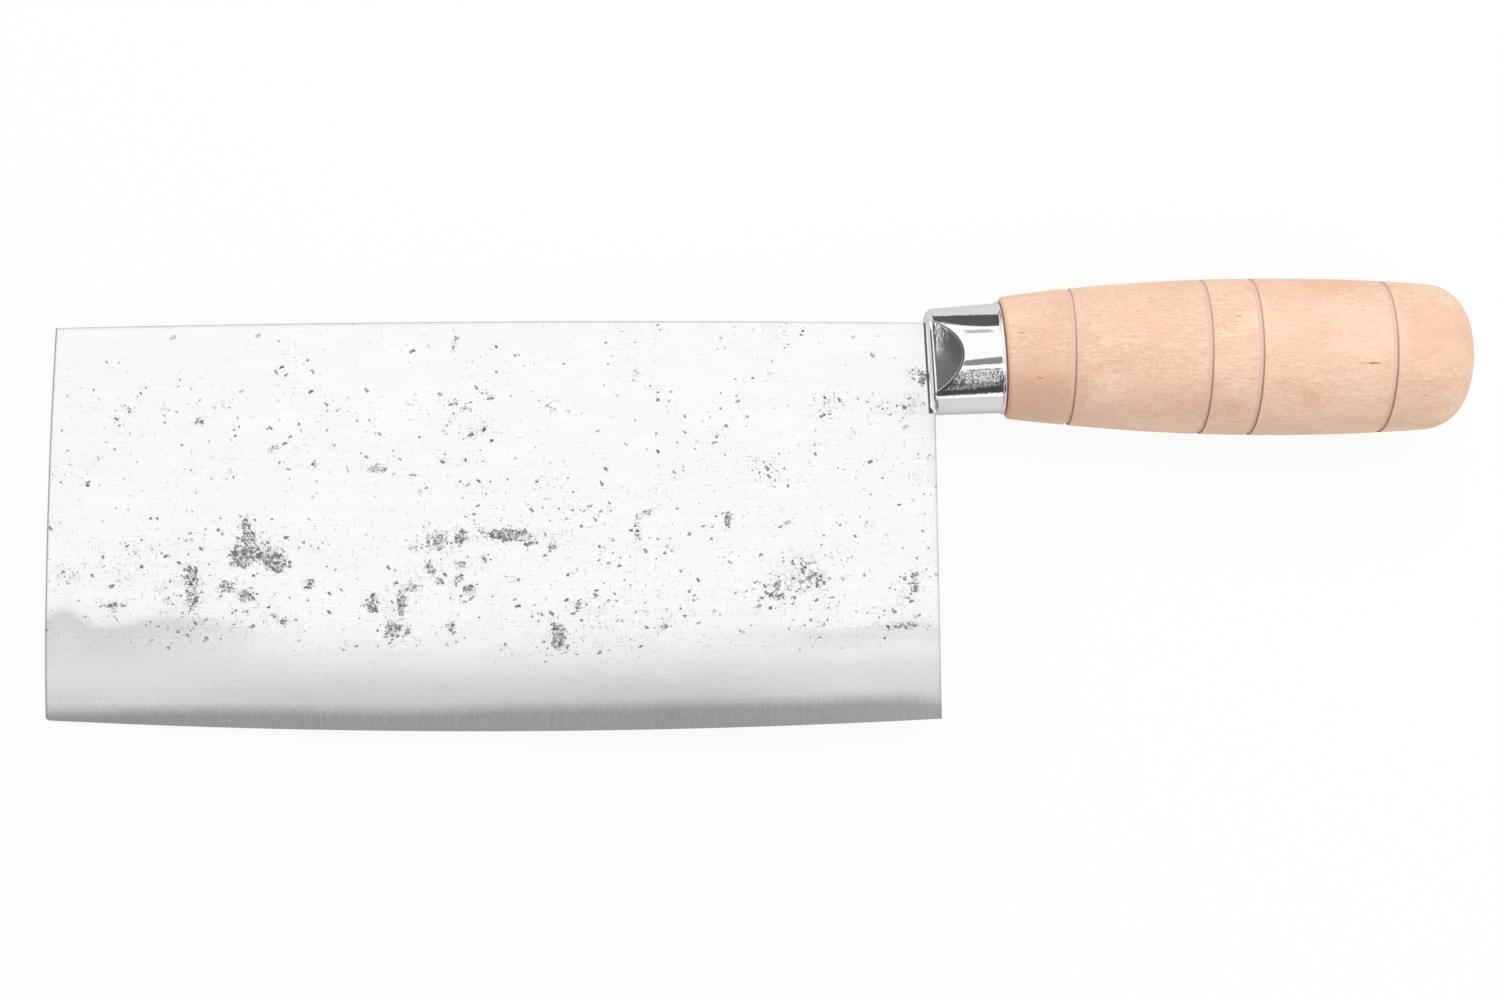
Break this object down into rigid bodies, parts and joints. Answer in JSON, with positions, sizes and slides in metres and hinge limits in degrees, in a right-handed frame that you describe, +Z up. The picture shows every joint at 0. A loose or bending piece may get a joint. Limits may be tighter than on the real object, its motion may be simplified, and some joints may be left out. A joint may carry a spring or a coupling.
{
  "type": "chinese cleaver",
  "caption": "Chinese vegetable cleaver: wide rectangular clad blade with a gently curved edge, pressed steel ferrule and a plain turned maple handle with grooves.",
  "frame": {"origin": "on the surface the cleaver lies on, below the middle of its overall length and height", "axes": "+X from the blade's tip to the handle's butt, +Y towards the spine, +Z up out of the blade's left face. The cleaver lies on its right side as on a table, touching it with the blade's tip end and the handle's belly, so it is pitched up 3.64 degrees towards the handle"},
  "size_m": [0.3478, 0.111, 0.0404],
  "materials": {
    "core_steel": "fine-ground carbon steel, darker than the cladding",
    "cladding_steel": "finely brushed stainless steel with remnants of dark forge scale",
    "ferrule_steel": "polished pressed steel",
    "maple": "sanded pale maple, thin matt oil",
    "resin": "dark setting resin"
  },
  "bodies": {
    "root": {"blade_core": "core_steel", "cladding_left": "cladding_steel", "cladding_right": "cladding_steel", "ferrule": "ferrule_steel", "handle": "maple", "tang_resin": "resin"}
  },
  "joints": []
}
